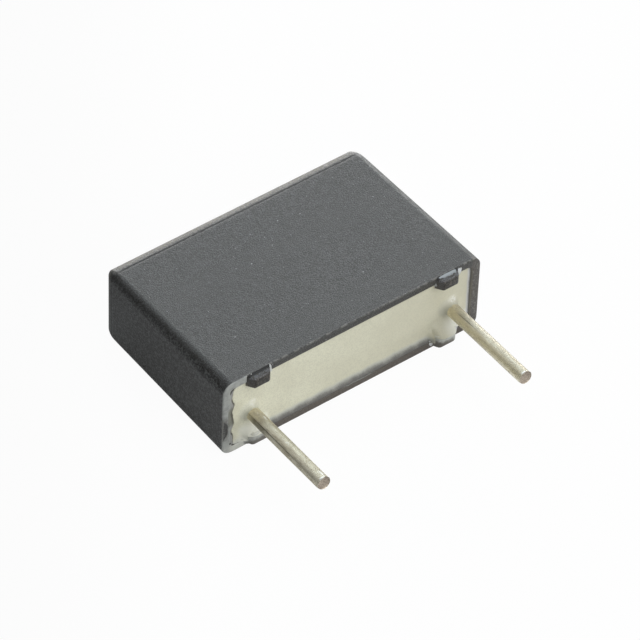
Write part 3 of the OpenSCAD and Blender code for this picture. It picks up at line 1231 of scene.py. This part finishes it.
def wire(side, name):
    """One wire, slightly uneven, with a burred and dished cut at its tip."""
    r, tip, count = lead.diameter / 2, lead_tip(side), 120
    depths = [d for d in [lead.end] + [0.1 - 0.1 * k for k in range(60)] if d > tip + 0.16]
    depths += [tip + lift for lift in TIP_RINGS]
    bm = bmesh.new()

    def shaft(depth):
        near_tip = max(0.0, 1.0 - (depth - tip) / TIP_RINGS[0])

        def reach(t):
            wave = noise.noise((math.cos(t) * 1.3 + 5 * side, math.sin(t) * 1.3, depth * 0.9))
            off = math.remainder(t - SHOWN, math.tau)
            squeeze = -0.022 * near_tip ** 2 * abs(math.sin(off * 0.5 + 0.8)) ** 3
            burr = 0.022 * near_tip ** 3 * bell(off + math.pi / 2, 0.45)
            mark = die_mark(off, depth) if side == LEFT else 0.0
            return r + 0.0035 * wave + squeeze + burr - mark
        return reach

    rings = [wire_ring(bm, side, count, shaft(depth), lambda t: depth) for depth in depths]
    edge = shaft(depths[-1])
    for share, lift in CUT_RINGS:
        def cut_depth(t):
            lean = 0.03 * math.cos(t - SHOWN) * share
            rough = noise.noise((math.cos(t) * share * 3, math.sin(t) * share * 3, 9.0 + side))
            return tip + lift + lean + 0.010 * rough
        rings.append(wire_ring(bm, side, count, lambda t: edge(t) * share, cut_depth))
    skin(bm, rings)
    bm.faces.new(rings[0])
    middle = bm.verts.new((side * lead.pitch / 2, tip + 0.032, -lead.drop))
    last = rings[-1]
    for one, two in zip(last, last[1:] + last[:1]):
        bm.faces.new((one, two, middle))
    piece = finish_mesh(bm, name)
    smooth(piece, sharp=50)
    return piece


def lead_tip(side):
    """Depth of a lead's cut tip; the leads are cut unevenly."""
    return -lead.tip + CUT_SHORT[side]


def die_mark(off, depth):
    """Depth of the flat that a worn die left along the left lead, with a sharp upper edge."""
    flat = ease_between(off, 0.33, 0.42, 0.8, 1.5)
    groove = bell(off - 0.40, 0.05)
    return (0.012 * flat + 0.014 * groove) * ease_between(depth, -3.2, -2.8, -0.3, -0.05)


def lead_finish(side, name):
    """Dull tinned wire: drawing lines, yellowish patches, bare core at the cut."""
    left = side == LEFT
    f, (x, y, z) = new_finish(name + "_tin", lead.tin)
    u, w = x - side * lead.pitch / 2, z + lead.drop
    r = (u * u + w * w).root()
    across = (u * math.sin(SHOWN) - w * math.cos(SHOWN)) / (lead.diameter / 2)
    shown = (u * math.cos(SHOWN) + w * math.sin(SHOWN)).ease(-0.06, 0.06)
    lines = f.clouds(11.0, 3.0, 0.6, stretch=(1.0, 0.08, 1.0))
    patches = f.clouds(2.2, 4.0, 0.65, stretch=(1.0, 0.5, 1.0))
    pits = f.clouds(8.0, 3.0, 0.6, stretch=(1.0, 0.4, 1.0))
    fine = f.clouds(16.0, 2.0, 0.6)

    # Dull tin with a grey bloom and fine pits
    dull = (patches * 0.4 + lines * 0.3 + fine * 0.3).ease(0.38, 0.64)
    f.paint(dull, lead.dull)
    bloom = across.ease(-0.35, 0.45) * shown * (0.38 if left else 0.49)
    f.paint(bloom * (1.0 - y.ease(-0.9, -0.2) * 0.6), lead.tarnish)
    f.paint((fine * 0.25 + pits * 0.75).ease(0.42, 0.66) * 0.47, lead.pitted)

    # Marks of drawing and yellowish stain, different on the two leads; on the right lead the stain
    # is also painted light on the dim lower side
    sway = (lines - 0.5) * 0.25
    if left:
        flat = (across + 0.36 + sway).ease(0.05, -0.05) * shown
        f.paint(flat * 0.25, lead.die)
        line = abs(across + 0.40).ease(0.10, 0.03) * shown * y.ease(-3.2, -2.8)
        f.paint(line * 0.5, lead.die)
    else:
        yellow = abs(across + 0.30 + sway).ease(0.55, 0.25) * shown
        f.paint(yellow * 0.5, lead.stained)
        line = abs(across - 0.04 + y * 0.10 + sway).ease(0.11, 0.04) * shown
        f.paint(line * abs(y + 1.1).ease(0.7, 0.3) * 0.6, lead.die)
    f.paint(y.ease(-1.3, -0.1) * (1.1 - pits * 1.4), lead.stained)
    if left:
        f.paint(flat * y.ease(-1.8, -0.9) * y.ease(-0.20, -0.60) * 0.5, lead.die)
    # Painted highlight in patches along the band where the light falls on the wire
    painted_highlight_band = shown * abs(across - 0.6).ease(0.35, 0.15) * patches.ease(0.55, 0.66)
    f.paint(painted_highlight_band * (0.8 if left else 0.2), lead.bright)

    # Cut tip: painted highlight on the lip, bare core and torn burr
    at_tip = y - lead_tip(side)
    lip_highlight = at_tip.ease(0.14, 0.06) * at_tip.ease(0.02, 0.05) * shown
    f.paint(lip_highlight * abs(across - 0.35).ease(0.5, 0.2), lead.bright)
    cut = at_tip.ease(0.075, 0.045) * r.ease(0.288, 0.272)
    torn = (fine * 0.5 + patches * 0.5).ease(0.35, 0.65)
    f.paint(cut, f.mix(torn, lead.core, lead.core_dark))
    burr = at_tip.ease(0.08, 0.05) * (r - 0.27).ease(-0.02, 0.0) * across.ease(-0.2, 0.6)
    f.paint(burr * 0.8, lead.core_dark)

    normal = f.bump(lines * 0.75 + fine * 0.25, 0.010, 0.30, f.bump(patches, 0.012, 0.4))
    return f.close(
        Metallic=0.95 - dull * 0.15, Roughness=0.42 + dull * 0.12 + fine * 0.10, Normal=normal)


class OBJECT_OT_capacitor_winding(bpy.types.Operator):
    """Give the roll and its sprayed contacts their finishes"""
    bl_idname = "object.capacitor_winding"
    bl_label = "Winding"

    def execute(self, context):
        nodes = frame["nodes"]
        cover(nodes["film_winding"], film_finish())
        spray = spray_finish()
        for node in ("end_contact_left", "end_contact_right"):
            cover(nodes[node], spray)
        return {"FINISHED"}


def film_finish():
    """Satin metallised film, with the fine lines of its turns."""
    f, (_, y, z) = new_finish("metallised_film", wind.film)
    across = abs(y - (wind.front + wind.deep / 2)) - (wind.deep - wind.thick) / 2
    beyond = across.most(0.0)
    turns = (beyond * beyond + z * z).root()
    layers = f.node("ShaderNodeTexNoise", {"noise_dimensions": "1D"},
                    {"W": turns * 60.0, "Scale": 1.0, "Detail": 2.0})
    crease = f.clouds(1.2, 3.0, 0.6, stretch=(0.4, 1.0, 1.0))
    f.paint(layers.ease(0.3, 0.7), wind.film_gap)
    return f.close(Metallic=1.0, Roughness=0.26 + crease * 0.2, Normal=f.bump(crease, 0.03, 0.5))


def spray_finish():
    """Rough grey metal, sprayed in fine drops."""
    f, _ = new_finish("sprayed_metal", wind.spray_gap)
    drops = f.clouds(7.0, 5.0, 0.7)
    f.paint(drops.ease(0.35, 0.7), wind.spray)
    return f.close(Metallic=0.9, Roughness=0.55 + drops * 0.25, Normal=f.bump(drops, 0.05, 0.8))


class OBJECT_OT_capacitor_stage(bpy.types.Operator):
    """Build the floor, the soft light and the camera"""
    bl_idname = "object.capacitor_stage"
    bl_label = "Stage"

    def execute(self, context):
        self.camera(context)
        self.floor()
        self.light(context)
        context.scene.view_settings.view_transform = "Standard"
        return {"FINISHED"}

    def camera(self, context):
        """Camera that looks at the case's middle, in the frame of the case."""
        lay = lay_down()
        middle = lay @ Vector((0, case.deep / 2, 0))
        turn = lay.to_3x3().normalized().to_4x4() @ Matrix.Rotation(stage.azimuth, 4, "Z")
        turn = turn @ Matrix.Rotation(math.pi / 2 - stage.elevation, 4, "X")
        turn = turn @ Matrix.Rotation(stage.roll, 4, "Z")
        away = MM * Vector((stage.offset_x, -stage.offset_y, stage.distance))
        data = bpy.data.cameras.new("camera")
        data.sensor_width = 36.0
        data.lens = stage.lens
        data.clip_start, data.clip_end = 0.01, 5.0
        camera = add_object("camera", data)
        camera.matrix_world = Matrix.Translation(middle) @ turn @ Matrix.Translation(away)
        context.scene.camera = camera

    def floor(self):
        """Pale floor, dimmer on the left, that the camera sees as nearly white."""
        bm = bmesh.new()
        bmesh.ops.create_grid(bm, x_segments=2, y_segments=2, size=1.0)
        mesh = bpy.data.meshes.new("floor")
        bm.to_mesh(mesh)
        bm.free()
        floor = add_object("floor", mesh)
        f = Finish(bpy.data.materials.new("floor"))
        x, y, _ = f.axes(f.node("ShaderNodeTexCoord", output="Object"))
        lit = (x * 0.8 - y * 0.6).ease(-0.014, -0.004)
        shade = f.mix(lit, stage.floor_dim, stage.floor)
        paper = f.node("ShaderNodeBsdfDiffuse", inputs={"Color": shade})
        white = f.node("ShaderNodeEmission", inputs={"Color": WHITE, "Strength": 1.0})
        surface = f.backdrop(paper, white, stage.floor_seen, stage.floor_mirrored)
        f.node("ShaderNodeOutputMaterial", inputs={"Surface": surface})
        cover(floor, f.owner)

    def light(self, context):
        """Soft boxes and strips round the part, and a dim room that shows as white."""
        # Name, place, size, radiance, tint
        boxes = (
            ("key_box", (0.072, 0.092, 0.165), (0.20, 0.20), stage.overhead, stage.key_tint),
            ("back_strip", (0.11, 0.20, 0.024), (0.18, 0.05), stage.behind, WHITE),
            ("right_strip", (0.20, 0.09, 0.045), (0.25, 0.07), stage.beside, WHITE),
            ("front_box", (0.05, -0.20, 0.15), (0.30, 0.30), stage.front, WHITE),
            ("left_box", (-0.09, 0.12, 0.19), (0.14, 0.14), stage.left, WHITE),
        )
        for name, spot, (wide, high), radiance, tint in boxes:
            data = bpy.data.lights.new(name, "AREA")
            data.shape = "RECTANGLE"
            data.size, data.size_y = wide, high
            data.energy = radiance * math.pi * wide * high
            data.color = tint
            lamp = add_object(name, data)
            lamp.location = spot
            lamp.rotation_euler = Vector(spot).to_track_quat("Z", "Y").to_euler()
            lamp.visible_camera = False
        f = Finish(bpy.data.worlds.new("studio"))
        room, white = (f.node("ShaderNodeBackground", inputs={"Color": WHITE, "Strength": strength})
                       for strength in (stage.fill, 1.0))
        surface = f.backdrop(room, white, 1.0, stage.room_mirrored)
        f.node("ShaderNodeOutputWorld", inputs={"Surface": surface})
        context.scene.world = f.owner


OPERATORS = (
    OBJECT_OT_capacitor_case,
    OBJECT_OT_capacitor_resin,
    OBJECT_OT_capacitor_traces,
    OBJECT_OT_capacitor_leads,
    OBJECT_OT_capacitor_winding,
    OBJECT_OT_capacitor_stage,
)


class VIEW3D_PT_capacitor(bpy.types.Panel):
    """Lists the steps that dress the capacitor"""
    bl_idname = "VIEW3D_PT_capacitor"
    bl_label = "Film Capacitor"
    bl_space_type = "VIEW_3D"
    bl_region_type = "UI"
    bl_category = "Capacitor"

    def draw(self, context):
        for operator in OPERATORS:
            self.layout.operator(operator.bl_idname)


GROUPS = {
    "case": CaseSettings,
    "resin": ResinSettings,
    "lead": LeadSettings,
    "winding": WindingSettings,
    "stage": StageSettings,
}
CLASSES = (*GROUPS.values(), *OPERATORS, VIEW3D_PT_capacitor)


def register():
    for cls in CLASSES:
        bpy.utils.register_class(cls)
    for name, group in GROUPS.items():
        setattr(bpy.types.Scene, PREFIX + name, bpy.props.PointerProperty(type=group))


def unregister():
    for name in GROUPS:
        delattr(bpy.types.Scene, PREFIX + name)
    for cls in reversed(CLASSES):
        bpy.utils.unregister_class(cls)


def main():
    register()
    for operator in OPERATORS:
        group, name = operator.bl_idname.split(".")
        getattr(getattr(bpy.ops, group), name)()


if __name__ == "__main__":
    main()
